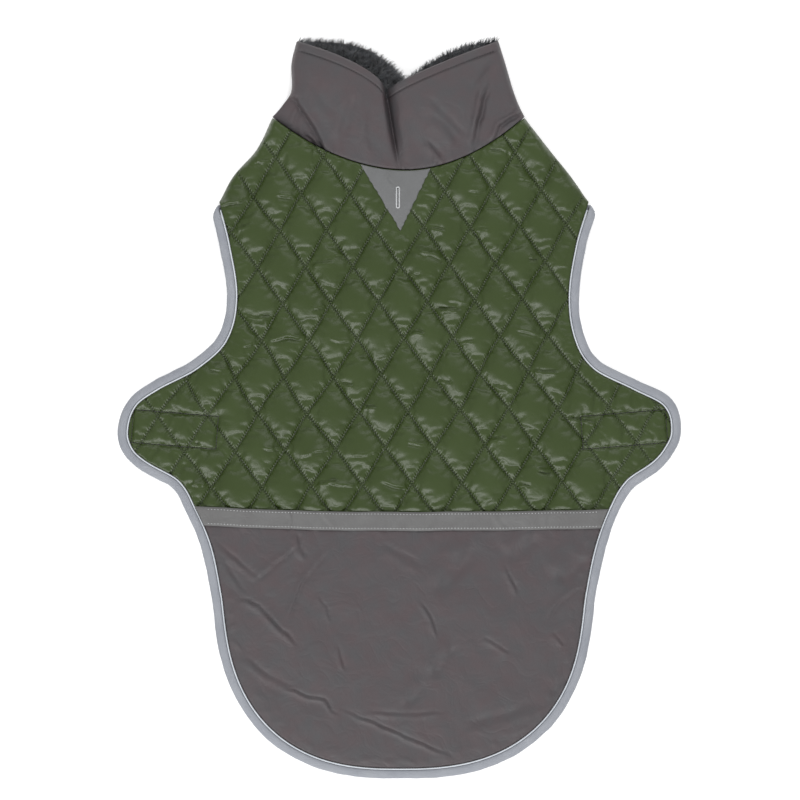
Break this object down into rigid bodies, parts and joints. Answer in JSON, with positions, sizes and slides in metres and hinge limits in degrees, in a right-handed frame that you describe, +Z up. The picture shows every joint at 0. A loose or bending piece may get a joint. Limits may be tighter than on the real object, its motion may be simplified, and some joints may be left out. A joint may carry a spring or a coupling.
{
  "type": "dog winter coat",
  "caption": "Padded dog coat laid flat, back side up: quilted back with belly wings, plain rear, reflective cross tape, lead slit, bound edges and a pile-lined stand-up collar.",
  "frame": {"origin": "middle of the coat's outline, on the surface it lies on", "axes": "+Y along the back towards the collar, +X to the right as seen from above, +Z up out of the back"},
  "size_m": [0.5638, 0.7392, 0.027],
  "materials": {
    "quilting": "glossy olive green nylon, padded and quilted in diamonds",
    "shell_cloth": "soft sheen brown-grey woven nylon",
    "pile": "dark charcoal long pile fleece",
    "reflective_cloth": "smooth grey retroreflective cloth tape",
    "edge_cloth": "matt lavender-grey woven edge tape",
    "piping": "silvery reflective piping",
    "closure": "dark hook and loop cloth"
  },
  "bodies": {
    "root": {"back_panel": "quilting", "chest_panel": "quilting", "rear_panel": "shell_cloth", "collar_shell": "shell_cloth", "collar_lining": "pile", "lead_patch": "reflective_cloth", "cross_tape": "reflective_cloth", "edge_tape": "edge_cloth", "edge_piping": "piping", "closure_left": "closure", "closure_right": "closure"}
  },
  "joints": []
}
